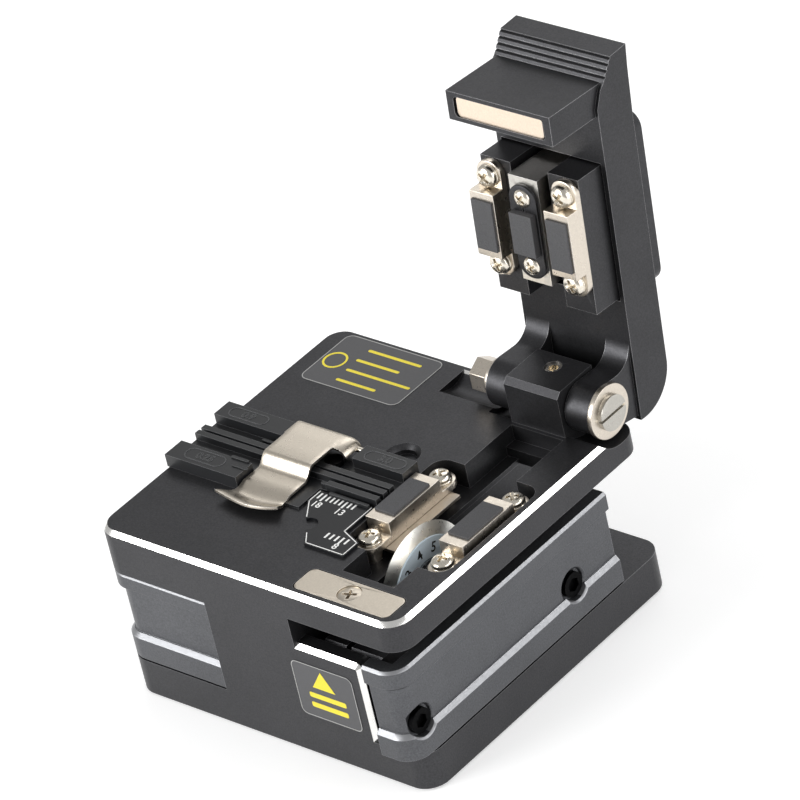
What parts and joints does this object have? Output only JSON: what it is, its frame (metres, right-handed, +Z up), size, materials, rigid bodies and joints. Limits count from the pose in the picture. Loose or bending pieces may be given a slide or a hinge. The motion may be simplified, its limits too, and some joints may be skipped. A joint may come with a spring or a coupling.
{
  "type": "fibre cleaver",
  "caption": "Desktop fibre cleaver with a hinged clamping lid, a numbered cutting wheel on a sliding carriage and a fibre holder with a leaf clip.",
  "frame": {"origin": "centre of the base's footprint, on the plane that its rubber feet stand on", "axes": "+X to the right along the fibre, +Y from the user towards the lid's hinge, +Z up"},
  "size_m": [0.065, 0.0825, 0.0949],
  "materials": {
    "black_anodised": "matte black anodised, polished chamfers",
    "grey_anodised": "grey anodised, fine blasted",
    "nickel_plate": "nickel plated",
    "magnet_nickel": "nickel plated magnet, satin",
    "nickel_screws": "nickel plated, bright",
    "hinge_steel": "turned stainless steel",
    "black_screws": "black oxide",
    "clamp_rubber": "matte nitrile rubber",
    "foot_rubber": "matte rubber",
    "holder_plastic": "moulded black plastic",
    "bronze_strip": "browned spring strip",
    "scale_print": "black print with white marks",
    "rail_steel": "ground bearing steel",
    "carbide": "ground tungsten carbide",
    "dial_blue": "pale blue anodised, printed numbers",
    "spring_steel": "spring wire"
  },
  "bodies": {
    "body": {"main_body": "black_anodised", "rubber_feet": "foot_rubber", "left_grip": "grey_anodised", "left_grip_screws": "black_screws", "linear_rail": "rail_steel", "rail_screws": "black_screws", "keeper_plate": "nickel_plate", "keeper_screw": "nickel_screws", "lower_clamp_left": "nickel_plate", "lower_clamp_right": "nickel_plate", "lower_pad_left": "clamp_rubber", "lower_pad_right": "clamp_rubber", "clamp_posts": "nickel_plate", "lower_clamp_screws": "nickel_screws", "clamp_guard": "bronze_strip", "fibre_holder": "holder_plastic", "holder_screws": "black_screws", "scale_plate": "scale_print", "hinge_pin": "hinge_steel", "hinge_washers": "hinge_steel", "hinge_nut": "hinge_steel", "knuckle_set_screw": "black_screws", "clip_pin": "nickel_screws"},
    "carriage": {"carriage_block": "black_anodised", "bearing_block": "rail_steel", "carriage_screws": "black_screws", "side_cover": "grey_anodised", "side_cover_screws": "black_screws", "blade_axle": "rail_steel", "blade_screw": "rail_steel"},
    "wheel": {"cutting_wheel": "carbide", "number_ring": "dial_blue", "blade_hub": "rail_steel"},
    "lid": {"lid_frame": "black_anodised", "lid_magnet": "magnet_nickel", "lid_cap": "black_anodised", "lid_cap_screws": "black_screws"},
    "clamp_left": {"carrier_left": "black_anodised", "upper_clamp_left": "nickel_plate", "upper_pad_left": "clamp_rubber", "upper_clamp_screws_left": "nickel_screws", "guide_screws_left": "black_screws", "press_springs_left": "spring_steel"},
    "clamp_right": {"carrier_right": "black_anodised", "upper_clamp_right": "nickel_plate", "upper_pad_right": "clamp_rubber", "upper_clamp_screws_right": "nickel_screws", "guide_screws_right": "black_screws", "press_springs_right": "spring_steel"},
    "anvil": {"anvil_block": "black_anodised", "anvil_plate": "black_anodised", "anvil_pad": "clamp_rubber", "anvil_screws": "nickel_screws", "guide_screws_anvil": "black_screws", "press_springs_anvil": "spring_steel"},
    "clip": {"fibre_clip": "nickel_plate"}
  },
  "joints": [
    {"name": "lid_hinge", "type": "hinge", "parent": "body", "child": "lid", "pos_m": [0.0196, 0.0265, 0.0372], "axis": [1, 0, 0], "range_deg": [0, 94.7]},
    {"name": "carriage_slide", "type": "slide", "parent": "body", "child": "carriage", "axis": [0, 1, 0], "range_m": [0, 0.0108]},
    {"name": "wheel_turn", "type": "hinge", "parent": "carriage", "child": "wheel", "pos_m": [0.0196, -0.0107, 0.0243], "axis": [1, 0, 0], "continuous": true},
    {"name": "clip_lift", "type": "hinge", "parent": "body", "child": "clip", "pos_m": [-0.0105, 0.0028, 0.0351], "axis": [-1, 0, 0], "range_deg": [0, 75]},
    {"name": "clamp_left_press", "type": "slide", "parent": "lid", "child": "clamp_left", "axis": [0, 0.9966, -0.0819], "range_m": [0, 0.0008], "stiffness_N_per_m": 2000, "springref_m": -0.0005},
    {"name": "clamp_right_press", "type": "slide", "parent": "lid", "child": "clamp_right", "axis": [0, 0.9966, -0.0819], "range_m": [0, 0.0008], "stiffness_N_per_m": 2000, "springref_m": -0.0005},
    {"name": "anvil_press", "type": "slide", "parent": "lid", "child": "anvil", "axis": [0, 0.9966, -0.0819], "range_m": [0, 0.0008], "stiffness_N_per_m": 2000, "springref_m": -0.0005}
  ]
}
